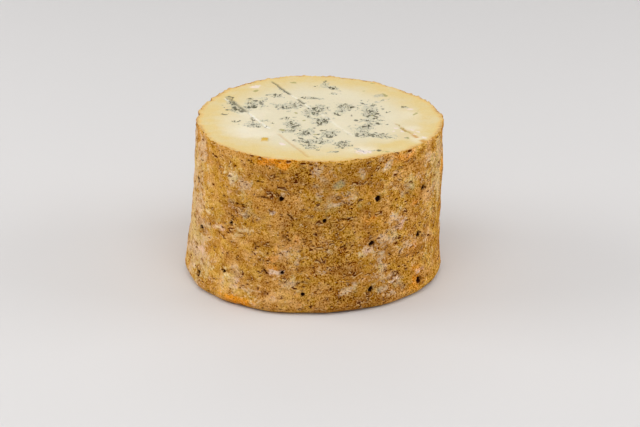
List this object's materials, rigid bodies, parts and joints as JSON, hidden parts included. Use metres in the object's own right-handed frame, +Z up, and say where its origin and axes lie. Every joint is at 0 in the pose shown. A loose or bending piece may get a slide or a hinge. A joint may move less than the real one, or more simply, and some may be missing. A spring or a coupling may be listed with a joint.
{
  "type": "half drum of blue cheese",
  "caption": "Drum-shaped blue cheese halved flat across, standing on its end with the veined cut face up and an uneven, needle-pierced rind.",
  "frame": {"origin": "middle of the box on the surface the half stands on", "axes": "+Z up, out of the cut face; -Y towards the shown side; +X to its right"},
  "size_m": [0.1386, 0.133, 0.0853],
  "materials": {
    "cheese": "matt ochre-brown rind with pale bloom; cream cut face with grey-green veins"
  },
  "bodies": {
    "root": {"cheese": "cheese"}
  },
  "joints": []
}
